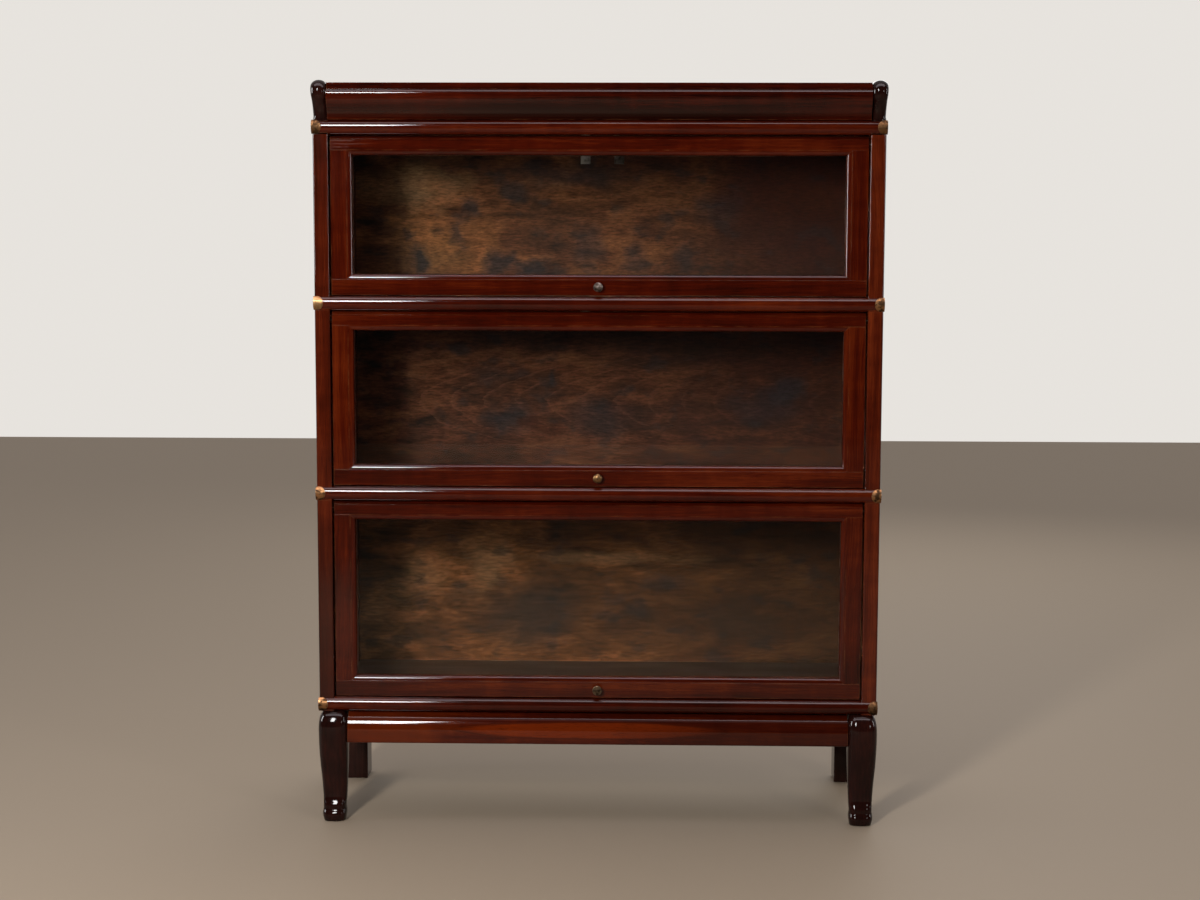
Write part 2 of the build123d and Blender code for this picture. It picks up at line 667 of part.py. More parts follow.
# ---- Whole bookcase -------------------------------------------------------------------------
def section_nodes(name):
    arm = equaliser_arm(name)
    return {
        f"side_board_right_{name}": side_board(name),
        f"side_board_left_{name}": mirrored(side_board(name)),
        f"shelf_{name}": shelf(name),
        f"nose_rail_{name}": nose_rail(name),
        f"back_panel_{name}": back_panel(name),
        f"door_top_rail_{name}": top_rail(name),
        f"door_bottom_rail_{name}": bottom_rail(name),
        f"door_stiles_{name}": pair(stile(name)),
        f"door_glass_{name}": door_glass(name),
        f"glazing_beads_{name}": glazing_beads(name),
        f"door_knob_{name}": knob(name),
        f"pivot_pins_{name}": pair(pivot_pin(name)),
        f"slide_carriage_{name}": slide_carriage(name),
        f"equaliser_arm_right_{name}": arm,
        f"equaliser_arm_left_{name}": mirrored(arm),
    }


def group(shapes):
    """Identical pieces, and their mirror images on the left, in one node."""
    return Compound(children=[piece for shape in shapes for piece in (shape, mirrored(shape))])


def shared_nodes():
    levels = list(LEVELS.values())
    screws = [band_screw(level, y) for level in levels for y in band_screw_places()]
    return {
        "equaliser_brackets": group([equaliser_bracket(name) for name in SECTION_HEIGHTS]),
        "equaliser_rivets": group([equaliser_rivet(name) for name in SECTION_HEIGHTS]),
        "side_bands": group([side_band(level) for level in levels]),
        "brass_band_caps": group([band_cap(level) for level in levels]),
        "band_screws": group(screws),
        "front_legs": pair(front_leg()),
        "rear_legs": pair(rear_leg()),
        "front_apron": apron(),
        "base_side_rails": pair(base_side_rail()),
        "base_back_rail": base_back_rail(),
        "cornice_ends": pair(cornice_end()),
        "cornice_moulding": cornice_moulding(),
        "cornice_top_panel": cornice_panel(),
        "cornice_back_rail": cornice_back_rail(),
        "nose_rail_cornice": nose_rail("cornice"),
    }


def main():
    os.makedirs("parts", exist_ok=True)
    nodes = shared_nodes()
    for name in SECTION_HEIGHTS:
        nodes.update(section_nodes(name))
    for node, shape in nodes.items():
        export_step(shape, f"parts/{node}.step")


main()
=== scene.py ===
"""Sectional barrister bookcase: looks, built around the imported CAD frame.  Metres, +Z up, +Y back."""
import math

import bmesh
import bpy
from mathutils import Matrix, Vector


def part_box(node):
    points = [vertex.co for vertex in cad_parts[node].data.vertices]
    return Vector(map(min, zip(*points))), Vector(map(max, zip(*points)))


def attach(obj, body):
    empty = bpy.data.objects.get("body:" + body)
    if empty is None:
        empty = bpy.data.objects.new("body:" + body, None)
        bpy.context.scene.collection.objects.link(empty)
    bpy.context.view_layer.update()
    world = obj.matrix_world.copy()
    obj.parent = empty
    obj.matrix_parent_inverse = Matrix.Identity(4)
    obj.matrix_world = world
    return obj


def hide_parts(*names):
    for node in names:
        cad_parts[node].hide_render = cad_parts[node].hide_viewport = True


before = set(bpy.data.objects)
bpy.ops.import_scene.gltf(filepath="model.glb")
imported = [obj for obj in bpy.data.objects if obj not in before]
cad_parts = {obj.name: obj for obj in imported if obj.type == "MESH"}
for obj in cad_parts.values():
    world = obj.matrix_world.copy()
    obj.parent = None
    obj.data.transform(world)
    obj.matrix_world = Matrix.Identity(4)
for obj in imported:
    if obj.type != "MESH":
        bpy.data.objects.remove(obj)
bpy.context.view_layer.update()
SECTIONS = ("lower", "middle", "upper")

# ---- Camera and stage -----------------------------------------------------------------------
CAMERA_PLACE = (0.070, -3.040, 0.891)
CAMERA_PITCH = 5.94            # degrees down
CAMERA_YAW = 1.31              # degrees to the left
CAMERA_ROLL = 0.155
CAMERA_LENS = 56.9             # mm
SENSOR_WIDTH = 36
ROOM_DARK = 0.025              # light from the room in front of the bookcase
ROOM_WALL = 0.60               # light from the pale wall behind it
ROOM_CEILING = 0.80            # light from straight above
WALL_TINT = (1, 0.96, 0.93)
CEILING_TINT = (1, 0.95, 0.97)
WALL_EDGE = (-0.15, 0.35)      # Y of a direction, from room to wall
CEILING_EDGE = (0.80, 0.93)    # Z of a direction, from wall to ceiling
BACKDROP = (0.80, 0.77, 0.73, 1)
FLOOR_HALF = 6.0

# ---- Gloss: all lower than the real indices, for calm reflections -----------------------------
COAT_IOR = 1.34
BLACK_COAT_IOR = 1.28
GLASS_IOR = 1.2


def add_camera():
    data = bpy.data.cameras.new("camera")
    data.lens = CAMERA_LENS
    data.sensor_width = SENSOR_WIDTH
    camera = bpy.data.objects.new("camera", data)
    bpy.context.scene.collection.objects.link(camera)
    turn = Matrix.Rotation(math.radians(CAMERA_YAW), 4, "Z")
    tilt = Matrix.Rotation(math.radians(90 - CAMERA_PITCH), 4, "X")
    roll = Matrix.Rotation(math.radians(CAMERA_ROLL), 4, "Z")
    camera.matrix_world = Matrix.Translation(CAMERA_PLACE) @ turn @ tilt @ roll
    bpy.context.scene.camera = camera


def add_area_light(name, place, target, size, power, colour=(1, 1, 1), shading=True, highlights=True):
    data = bpy.data.lights.new(name, "AREA")
    data.shape = "RECTANGLE"
    data.size, data.size_y = size
    data.energy = power
    data.color = colour
    light = bpy.data.objects.new(name, data)
    bpy.context.scene.collection.objects.link(light)
    light.location = place
    light.visible_diffuse = shading
    light.visible_glossy = highlights
    light.rotation_euler = (Vector(target) - Vector(place)).to_track_quat("-Z", "Y").to_euler()


def add_world():
    """A dark room with a pale ceiling and a pale wall behind; the camera alone sees a backdrop."""
    world = bpy.data.worlds.new("studio")
    world.use_nodes = True
    w = Nodes(world.node_tree)
    direction = w.node("SeparateXYZ", {0: w.node("TexCoord").outputs["Generated"]}).outputs
    dark, wall = [tuple(level * part for part in WALL_TINT) + (1,) for level in (ROOM_DARK, ROOM_WALL)]
    ceiling = tuple(ROOM_CEILING * part for part in CEILING_TINT) + (1,)
    room = w.mix(w.range(direction["Y"], *WALL_EDGE), dark, wall)
    room = w.mix(w.range(direction["Z"], *CEILING_EDGE), room, ceiling)
    seen = w.mix(w.node("LightPath").outputs["Is Camera Ray"], room, BACKDROP)
    w.node("OutputWorld", {"Surface": w.node("Background", {"Color": seen}).outputs[0]})
    bpy.context.scene.world = world
    bpy.context.scene.view_settings.view_transform = "Standard"


def add_lights():
    """Lights that only shade, lights that only shine on the polish, and two that do both."""
    front = (0, 0, 0.65)
    above = (0, -0.85, 0)
    warm = (1.0, 0.96, 0.91)
    pink = (1.0, 0.88, 0.93)
    add_area_light("key", (-0.85, -2.35, 1.22), front, (0.25, 0.4), 44, warm, highlights=False)
    add_area_light("gloss", (-0.80, -2.45, 2.12), front, (0.36, 0.8), 60, shading=False)
    add_area_light("overhead", (0, -0.85, 3.3), above, (4.5, 1.1), 75, pink, shading=False)
    add_area_light("left", (-2.8, -0.3, 1.45), front, (0.5, 1.3), 60, shading=False)
    add_area_light("right", (2.8, -0.4, 1.35), front, (0.25, 1.3), 16, shading=False)
    add_area_light("fill", (2.0, -2.3, 1.5), front, (0.3, 0.6), 8, warm)
    add_area_light("back", (0.8, 2.8, 2.0), front, (1.6, 1.6), 18)


# ---- Shader building ------------------------------------------------------------------------
FIGURE_WANDER = (6, 60, 60)    # how fast the lines of a figure waver along X, Y and Z
OBJECT_SHIFT = 23.0            # furthest that one object's pattern is moved from another's
POLISH_RELIEF = 0.0012         # height of the waves in the polish and the wood under it


def linear(text):
    """Linear colour, with alpha, from an sRGB hex colour."""
    values = [int(text[i:i + 2], 16) / 255 for i in (0, 2, 4)]
    return tuple(((v + 0.055) / 1.055) ** 2.4 if v > 0.04045 else v / 12.92 for v in values) + (1.0,)


class Nodes:
    """A node tree under construction.  An input is a plain value or another node's output."""

    def __init__(self, tree):
        self.tree = tree
        self.tree.nodes.clear()

    def node(self, kind, inputs=None, **settings):
        made = self.tree.nodes.new("ShaderNode" + kind)
        for key, value in settings.items():
            setattr(made, key, value)
        for key, value in (inputs or {}).items():
            if isinstance(value, bpy.types.NodeSocket):
                self.tree.links.new(value, made.inputs[key])
            else:
                made.inputs[key].default_value = value
        return made

    def mix(self, factor, a, b, blend="MIX"):
        made = self.node("Mix", {0: factor, 6: a, 7: b}, data_type="RGBA", blend_type=blend)
        return made.outputs[2]

    def range(self, value, low, high, to_low=0.0, to_high=1.0):
        """Value from low..high mapped to to_low..to_high, held at the ends."""
        inputs = {"Value": value, "From Min": low, "From Max": high, "To Min": to_low, "To Max": to_high}
        return self.node("MapRange", inputs).outputs[0]


class Shader(Nodes):
    """A material under construction."""

    def __init__(self, name):
        self.material = bpy.data.materials.new(name)
        self.material.use_nodes = True
        super().__init__(self.material.node_tree)

    def math(self, operation, a, b=0.0):
        return self.node("Math", {0: a, 1: b}, operation=operation).outputs[0]

    def vector(self, operation, a, b):
        return self.node("VectorMath", {0: a, 1: b}, operation=operation).outputs[0]

    def weighed(self, *terms):
        """Sum of (value, weight) terms."""
        total = self.math("MULTIPLY", *terms[0])
        for value, weight in terms[1:]:
            total = self.math("ADD", total, self.math("MULTIPLY", value, weight))
        return total

    def noise(self, vector, scale=(1, 1, 1), detail=4.0, roughness=0.5, distortion=0.0):
        inputs = {"Vector": self.vector("MULTIPLY", vector, scale), "Scale": 1.0, "Detail": detail}
        inputs.update({"Roughness": roughness, "Distortion": distortion})
        return self.node("TexNoise", inputs).outputs["Fac"]

    def ramp(self, factor, stops):
        made = self.node("ValToRGB", {"Fac": factor})
        elements = made.color_ramp.elements
        while len(elements) < len(stops):
            elements.new(0.5)
        for element, (position, colour) in zip(elements, stops):
            element.position = position
            element.color = linear(colour)
        return made.outputs["Color"]

    def frame_place(self):
        """Position in the frame."""
        return self.node("TexCoord").outputs["Object"]

    def object_place(self):
        """Position in the frame, moved by a different amount for each object."""
        shift = self.math("MULTIPLY", self.node("ObjectInfo").outputs["Random"], OBJECT_SHIFT)
        return self.vector("ADD", self.frame_place(), shift)

    def grain_place(self, along):
        """The same position with its first coordinate along the grain."""
        parts = self.node("SeparateXYZ", {0: self.object_place()}).outputs
        order = {"X": (0, 1, 2), "Y": (1, 0, 2), "Z": (2, 0, 1)}[along]
        inputs = {i: parts[axis] for i, axis in enumerate(order)}
        return self.node("CombineXYZ", inputs).outputs[0]

    def edge_wear(self, radius, amount):
        """1 on rubbed edges, fading into the flats, broken up by noise."""
        bevel = self.node("Bevel", {"Radius": radius}, samples=4).outputs[0]
        normal = self.node("NewGeometry").outputs["Normal"]
        dot = self.node("VectorMath", {0: bevel, 1: normal}, operation="DOT_PRODUCT").outputs["Value"]
        edge = self.range(dot, 0.995, 0.80)
        patches = self.range(self.noise(self.object_place(), (35, 35, 35)), 0.42, 0.62)
        return self.math("MULTIPLY", self.math("MULTIPLY", edge, patches), amount)

    def blotch(self, centre, size):
        """1 inside a soft, uneven patch about (x, z), of half sizes (x, z)."""
        place = self.frame_place()
        scale = 1.4 / (size[0] + size[1])
        drift = self.node("TexNoise", {"Vector": place, "Scale": scale, "Detail": 6.0}).outputs["Color"]
        drift = self.vector("MULTIPLY", self.vector("SUBTRACT", drift, (0.5, 0.5, 0.5)), (2.6, 0.0, 2.6))
        offset = self.vector("SUBTRACT", place, (centre[0], 0, centre[1]))
        offset = self.vector("ADD", self.vector("MULTIPLY", offset, (1 / size[0], 0, 1 / size[1])), drift)
        distance = self.node("VectorMath", {0: offset}, operation="LENGTH").outputs["Value"]
        return self.range(distance, 1.30, 0.50)

    def marked(self, colour, marks):
        """A colour with (centre, half sizes, hex colour, strength) patches laid over it."""
        for centre, size, tint, strength in marks:
            cover = self.math("MULTIPLY", self.blotch(centre, size), strength)
            colour = self.mix(cover, colour, linear(tint))
        return colour

    def cathedral(self, tip, spread, spacing):
        """Growth lines nested about a tip at (x, z) and opening to +X."""
        place = self.frame_place()
        offset = self.vector("SUBTRACT", place, (tip[0], 0, tip[1]))
        parts = self.node("SeparateXYZ", {0: offset}).outputs
        bend = self.math("MULTIPLY", self.math("MULTIPLY", parts[2], parts[2]), spread)
        wander = self.math("SUBTRACT", self.noise(place, FIGURE_WANDER, detail=3), 0.5)
        level = self.weighed((parts[0], 1.0), (bend, -1.0), (wander, spacing * 0.7))
        inside = self.range(level, -0.1 * spacing, 0.02 * spacing)
        line = self.range(self.math("FRACT", self.math("DIVIDE", level, spacing)), 0.0, 0.20, 1.0, 0.0)
        return self.math("MULTIPLY", line, inside)

    def lens(self, centre, half):
        """A growth line closed in a long oval about (x, z): the line, and its inside."""
        place = self.frame_place()
        offset = self.vector("SUBTRACT", place, (centre[0], 0, centre[1]))
        offset = self.vector("MULTIPLY", offset, (1 / half[0], 0, 1 / half[1]))
        distance = self.node("VectorMath", {0: offset}, operation="LENGTH").outputs["Value"]
        wander = self.noise(place, FIGURE_WANDER, detail=3)
        level = self.math("ADD", self.weighed((distance, -1.0), (wander, 0.4)), 0.8)
        inside = self.range(level, -0.06, 0.0)
        line = self.range(level, 0.18, 0.0)
        return self.math("MULTIPLY", line, inside), inside

    def bump(self, height, strength, distance):
        inputs = {"Height": height, "Strength": strength, "Distance": distance}
        return self.node("Bump", inputs).outputs[0]

    def finish(self, surface):
        self.node("OutputMaterial", {"Surface": surface})
        return self.material


# ---- Woods ----------------------------------------------------------------------------------
# Dark, middle and light tone of the grain, then the colour of rubbed edges.
MAHOGANY = ("1c0502", "430f03", "64230a", "8a5432")
MAHOGANY_WARM = ("1c0602", "3f0f04", "622206", "8a5230")
MAHOGANY_SIDE = ("200803", "4c1708", "722d12", "7c4a2c")
MAHOGANY_DEEP = ("160502", "360d04", "521d0a", "7c4a2c")
SHELF_WOOD = ("120906", "2a180e", "422818", "5c4330")
CARCASE_WOOD = ("20130c", "402817", "60402a", "7a5c40")


def wood(name, along, palette, roughness=0.5, coat=1.0, dulled=0.0, marks=(), figure=None):
    """Wood with broad tone, growth streaks, fine fibres, pores and cross figure, under a polish."""
    s = Shader(name)
    place = s.grain_place(along)
    drift = s.noise(place, (1.6, 5, 5), detail=2)
    wander = s.node("CombineXYZ", {1: s.math("MULTIPLY", drift, 0.05), 2: s.math("MULTIPLY", drift, 0.03)})
    bent = s.vector("ADD", place, wander.outputs[0])
    tone = s.noise(place, (1.6, 7, 7), detail=3)
    streaks = s.noise(bent, (2.4, 85, 85), detail=6, roughness=0.62)
    fibres = s.noise(bent, (16, 560, 560), detail=3, roughness=0.6)
    ribbon = s.noise(bent, (30, 8, 8), detail=2, distortion=0.6)
    grain = s.weighed((tone, 0.40), (streaks, 0.34), (fibres, 0.20), (ribbon, 0.12))
    grain = s.math("SUBTRACT", grain, 0.03)
    dark, middle, light, worn = palette
    colour = s.ramp(grain, [(0.36, dark), (0.50, middle), (0.64, light)])
    if figure:
        centre, half, line_tint, inside_tint = figure
        line, inside = s.lens(centre, half)
        colour = s.mix(s.math("MULTIPLY", inside, 0.55), colour, linear(inside_tint))
        colour = s.mix(s.math("MULTIPLY", line, 0.8), colour, linear(line_tint))
    pore = s.range(s.noise(bent, (70, 1500, 1500), detail=1), 0.60, 0.72)
    colour = s.mix(s.math("MULTIPLY", pore, 0.55), colour, linear(dark))
    colour = s.marked(colour, marks)
    colour = s.mix(s.edge_wear(0.0022, 0.5), colour, linear(worn))
    height = s.weighed((s.noise(place, (9, 30, 30), detail=2), 0.5), (fibres, 0.05), (pore, -0.06))
    patchy = s.noise(place, (7, 16, 16), detail=3)
    settings = {
        "Base Color": colour,
        "Roughness": s.range(patchy, 0.3, 0.7, roughness - 0.06, roughness + 0.08),
        "Specular IOR Level": 0.5 - 0.5 * coat,
        "Normal": s.bump(height, 0.35, POLISH_RELIEF),
    }
    if coat:
        settings["Coat Weight"] = coat
        settings["Coat Roughness"] = 0.06 + dulled
        settings["Coat IOR"] = COAT_IOR
        settings["Coat Normal"] = s.bump(height, 0.022, POLISH_RELIEF)
    return s.finish(s.node("BsdfPrincipled", settings).outputs[0])


# Blue-black stains, worn pale patches, the darker end of each back panel, painted shade along
# the top of the middle panel and a darker band along the bottom of the lower panel.  A mark is its
# centre (x, z), its half sizes (x, z), its colour and its strength.
STAIN = "17171b"
RUST = "2c1108"
WORN = "725338"
BACK_MARKS_AND_SHADE = {
    "upper": (
        ((0.26, 0.93), (0.36, 0.40), "260f07", 0.60),
        ((0.46, 0.93), (0.30, 0.30), "240c07", 0.85),
        ((-0.310, 1.000), (0.075, 0.040), WORN, 0.60),
        ((-0.290, 0.900), (0.100, 0.050), "80522b", 0.35),
        ((-0.217, 0.966), (0.016, 0.014), STAIN, 0.75),
        ((-0.148, 0.994), (0.030, 0.016), STAIN, 0.70),
        ((-0.325, 0.920), (0.010, 0.012), STAIN, 0.70),
        ((-0.305, 0.880), (0.015, 0.026), STAIN, 0.85),
        ((-0.246, 0.920), (0.012, 0.018), STAIN, 0.65),
        ((-0.177, 0.874), (0.030, 0.018), STAIN, 0.85),
        ((-0.117, 0.866), (0.022, 0.012), STAIN, 0.85),
        ((-0.060, 1.022), (0.090, 0.022), STAIN, 0.55),
        ((-0.020, 0.900), (0.030, 0.036), STAIN, 0.50),
        ((0.062, 0.878), (0.022, 0.022), STAIN, 0.45),
        ((0.137, 0.884), (0.014, 0.028), STAIN, 0.55),
        ((0.199, 0.966), (0.038, 0.028), STAIN, 0.50),
    ),
    "middle": (
        ((0.40, 0.65), (0.45, 0.30), "220d08", 0.60),
        # painted shade: a dark band along the top of the middle panel, under the shelf above
        ((0.0, 0.76), (0.45, 0.05), "1c100c", 0.65),
        ((-0.160, 0.612), (0.036, 0.026), STAIN, 0.80),
        ((-0.120, 0.606), (0.022, 0.012), RUST, 0.80),
        ((-0.085, 0.597), (0.030, 0.013), RUST, 0.85),
        ((-0.006, 0.612), (0.070, 0.040), STAIN, 0.50),
        ((0.308, 0.661), (0.036, 0.018), STAIN, 0.75),
        ((0.270, 0.630), (0.050, 0.026), STAIN, 0.45),
        ((-0.234, 0.729), (0.022, 0.010), STAIN, 0.65),
        ((-0.083, 0.678), (0.007, 0.013), STAIN, 0.80),
        ((-0.194, 0.684), (0.026, 0.018), STAIN, 0.35),
    ),
    "lower": (
        ((0.44, 0.32), (0.40, 0.34), "26150c", 0.70),
        ((0.05, 0.27), (0.50, 0.06), "2c180d", 0.45),
        ((-0.194, 0.363), (0.045, 0.035), WORN, 0.45),
        ((-0.300, 0.345), (0.045, 0.040), WORN, 0.30),
        ((-0.102, 0.275), (0.072, 0.052), "241a16", 0.75),
        ((0.062, 0.281), (0.034, 0.013), STAIN, 0.65),
        ((0.103, 0.334), (0.050, 0.012), STAIN, 0.45),
        ((0.234, 0.268), (0.050, 0.040), "241812", 0.60),
        ((-0.239, 0.316), (0.034, 0.024), "2a1c14", 0.55),
        ((0.360, 0.351), (0.020, 0.012), STAIN, 0.55),
        ((0.020, 0.375), (0.120, 0.010), WORN, 0.35),
    ),
}
BACK_TONES = {
    "upper": ("1b0d08", "412312", "6a4026"),
    "middle": ("180c07", "381c10", "583320"),
    "lower": ("1e1009", "482812", "704426"),
}
# Tip (x, z), spread, spacing and colour of the growth lines.
BACK_FIGURES = {"middle": ((-0.308, 0.640), 33.0, 0.055, "6d4230")}


def back_wood(name):
    """Clouds of old stain and short flecks of grain, with dark blotches and some painted shade on the
    inside face.
    """
    s = Shader(f"back_wood_{name}")
    place = s.object_place()
    clouds = s.noise(place, (9, 20, 20), detail=5, distortion=0.9)
    streaks = s.noise(place, (17, 75, 75), detail=6, roughness=0.66)
    flecks = s.noise(place, (75, 370, 370), detail=4, roughness=0.7)
    dark, middle, light = BACK_TONES[name]
    grain = s.weighed((clouds, 0.62), (streaks, 0.38))
    colour = s.ramp(grain, [(0.34, dark), (0.49, middle), (0.66, light)])
    if name in BACK_FIGURES:
        tip, spread, spacing, tint = BACK_FIGURES[name]
        lines = s.cathedral(tip, spread, spacing)
        colour = s.mix(s.math("MULTIPLY", lines, 0.18), colour, linear(tint))
    # the marks lay stains and wear, and painted shade along the top of the middle panel
    stained = s.marked(colour, BACK_MARKS_AND_SHADE[name])
    specks = s.range(s.noise(place, (22, 40, 40), detail=6), 0.56, 0.66)
    stained = s.mix(s.math("MULTIPLY", specks, 0.5), stained, linear(STAIN))
    facing = s.node("SeparateXYZ", {0: s.node("NewGeometry").outputs["Normal"]}).outputs[1]
    colour = s.mix(s.range(facing, 0.5, -0.5), colour, stained)
    colour = s.mix(1.0, colour, s.range(flecks, 0.36, 0.64, 0.62, 1.42), "MULTIPLY")
    pits = s.range(s.noise(place, (160, 900, 900), detail=1), 0.60, 0.72)
    colour = s.mix(s.math("MULTIPLY", pits, 0.5), colour, linear(dark))
    surface = s.node(
        "BsdfPrincipled",
        {
            "Base Color": colour,
            "Roughness": s.range(clouds, 0.3, 0.7, 0.55, 0.70),
            "Specular IOR Level": 0.08,
            "Normal": s.bump(s.weighed((streaks, 0.6), (pits, -0.3)), 0.35, 0.0010),
        },
    )
    return s.finish(surface.outputs[0])


def ebonised(name, tones=("150907", "230e0b", "371610"), worn="4c2c1c"):
    """Black stained wood under a thick bright polish, worn brown on its edges."""
    s = Shader(name)
    place = s.object_place()
    blot = s.noise(place, (14, 14, 9), detail=5)
    fibres = s.noise(place, (300, 300, 12), detail=3)
    grain = s.weighed((blot, 0.7), (fibres, 0.3))
    colour = s.ramp(grain, list(zip((0.38, 0.52, 0.68), tones)))
    colour = s.mix(s.edge_wear(0.003, 0.35), colour, linear(worn))
    surface = s.node(
        "BsdfPrincipled",
        {
            "Base Color": colour,
            "Roughness": s.range(blot, 0.3, 0.7, 0.42, 0.55),
            "Specular IOR Level": 0.0,
            "Coat Weight": 1.0,
            "Coat Roughness": 0.075,
            "Coat IOR": BLACK_COAT_IOR,
            "Coat Normal": s.bump(s.noise(place, (28, 28, 28), detail=2), 0.06, POLISH_RELIEF),
        },
    )
    return s.finish(surface.outputs[0])


# ---- Metals, glass and floor ----------------------------------------------------------------
def aged_metal(name, bright, tarnish, roughness, spots, cover=(0.40, 0.62), marks=()):
    """Metal with darker tarnish in patches and brighter rubbed edges."""
    s = Shader(name)
    place = s.object_place()
    patches = s.range(s.noise(place, (spots, spots, spots), detail=5), *cover)
    colour = s.mix(patches, linear(bright), linear(tarnish))
    colour = s.mix(s.edge_wear(0.0012, 0.7), colour, linear(bright))
    colour = s.marked(colour, marks)
    scratches = s.noise(place, (900, 900, 160), detail=2)
    surface = s.node(
        "BsdfPrincipled",
        {
            "Base Color": colour,
            "Metallic": 1.0,
            "Roughness": s.range(patches, 0, 1, roughness, roughness + 0.22),
            "Normal": s.bump(scratches, 0.15, 0.0004),
        },
    )
    return s.finish(surface.outputs[0])


def clear_glass(name):
    """Thin window glass, clear to the light of the lamps."""
    s = Shader(name)
    pane = s.node(
        "BsdfPrincipled",
        {"Base Color": linear("f2f6f3"), "Roughness": 0.0, "Transmission Weight": 1.0, "IOR": GLASS_IOR},
    )
    for_lamps = s.node("BsdfTransparent", {"Color": linear("f2f6f3")})
    shadow_ray = s.node("LightPath").outputs["Is Shadow Ray"]
    glass = s.node("MixShader", {0: shadow_ray, 1: pane.outputs[0], 2: for_lamps.outputs[0]})
    return s.finish(glass.outputs[0])


def plain_floor():
    s = Shader("floor")
    surface = s.node("BsdfPrincipled", {"Base Color": linear("a4937e"), "Roughness": 0.7})
    return s.finish(surface.outputs[0])


def add_floor():
    mesh = bpy.data.meshes.new("floor")
    corners = [(x * FLOOR_HALF, y * FLOOR_HALF, 0) for x, y in ((-1, -1), (1, -1), (1, 1), (-1, 1))]
    mesh.from_pydata(corners, [], [(0, 1, 2, 3)])
    floor = bpy.data.objects.new("floor", mesh)
    bpy.context.scene.collection.objects.link(floor)
    set_material(floor, plain_floor())


# ---- Mesh building --------------------------------------------------------------------------
WELD_DISTANCE = 1e-6
ARRIS_ANGLE = 35               # degrees; sharper edges are rounded
WOOD_ARRIS = 0.0008            # widths of the rounding
BOARD_ARRIS = 0.0006
BEAD_ARRIS = 0.0005
STEEL_ARRIS = 0.0003
SMALL_STEEL_ARRIS = 0.0002
CAP_ARRIS = 0.0018
MOULDING_ARRIS = 0.0014
LEG_ARRIS = 0.002


def set_material(piece, material):
    """The whole piece takes this material."""
    if not piece.material_slots:
        piece.data.materials.append(material)
    for slot in piece.material_slots:
        slot.material = material


def dress(node, material, arris=WOOD_ARRIS):
    """Gives a CAD node its material and rounds its arrises a little, as polishing leaves them."""
    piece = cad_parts[node]
    weld = piece.modifiers.new("weld", "WELD")
    weld.merge_threshold = WELD_DISTANCE
    bevel = piece.modifiers.new("arrises", "BEVEL")
    bevel.width = arris
    bevel.segments = 2
    bevel.limit_method = "ANGLE"
    bevel.angle_limit = math.radians(ARRIS_ANGLE)
    piece.modifiers.new("shading", "WEIGHTED_NORMAL")
    set_material(piece, material)


def add_piece(name, mesh_data, material, body, node):
    """A finished mesh that rides on a body in place of a CAD node."""
    piece = bpy.data.objects.new(name, mesh_data)
    bpy.context.scene.collection.objects.link(piece)
    set_material(piece, material)
    for face in mesh_data.polygons:
        face.use_smooth = True
    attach(piece, body)
    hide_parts(node)
    return piece


def loft(name, rings):
    """A closed skin over rings of equally many points, each listed the same way round."""
    count = len(rings[0])
    faces = []
    for level in range(len(rings) - 1):
        low = level * count
        high = low + count
        for i in range(count):
            j = (i + 1) % count
            faces.append((low + i, low + j, high + j, high + i))
    faces.append(tuple(reversed(range(count))))
    faces.append(tuple(range((len(rings) - 1) * count, len(rings) * count)))
    made = bpy.data.meshes.new(name)
    made.from_pydata([point for ring in rings for point in ring], [], faces)
    return made


def joined(name, meshes):
    """One mesh from several, with its faces turned outward."""
    gathered = bmesh.new()
    for part in meshes:
        gathered.from_mesh(part)
    bmesh.ops.recalc_face_normals(gathered, faces=gathered.faces)
    made = bpy.data.meshes.new(name)
    gathered.to_mesh(made)
    gathered.free()
    return made


def mirrored_x(mesh_data):
    other = mesh_data.copy()
    other.transform(Matrix.Scale(-1, 4, (1, 0, 0)))
    return other


def smooth_value(keys, at):
    """A smooth curve through (position, value) keys."""
    last = len(keys) - 2
    i = next((k for k in range(last) if at <= keys[k + 1][0]), last)
    (x0, v0), (x1, v1) = keys[i], keys[i + 1]
    before = keys[max(i - 1, 0)]
    after = keys[min(i + 2, last + 1)]
    slope0 = (v1 - before[1]) / (x1 - before[0])
    slope1 = (after[1] - v0) / (after[0] - x0)
    width = x1 - x0
    t = (at - x0) / width
    start = (1 + 2 * t) * (1 - t) ** 2 * v0 + t * (1 - t) ** 2 * width * slope0
    end = t * t * (3 - 2 * t) * v1 + t * t * (t - 1) * width * slope1
    return start + end


def squircle(x, y, z, power, points=48):
    """A ring between (low, high) pairs in X and Y, squarer for a higher power."""
    ring = []
    for i in range(points):
        angle = 2 * math.pi * i / points
        u = math.copysign(abs(math.cos(angle)) ** (2 / power), math.cos(angle))
        v = math.copysign(abs(math.sin(angle)) ** (2 / power), math.sin(angle))
        across = (x[0] + x[1] + u * (x[1] - x[0])) / 2
        deep = (y[0] + y[1] + v * (y[1] - y[0])) / 2
        ring.append((across, deep, z))
    return ring


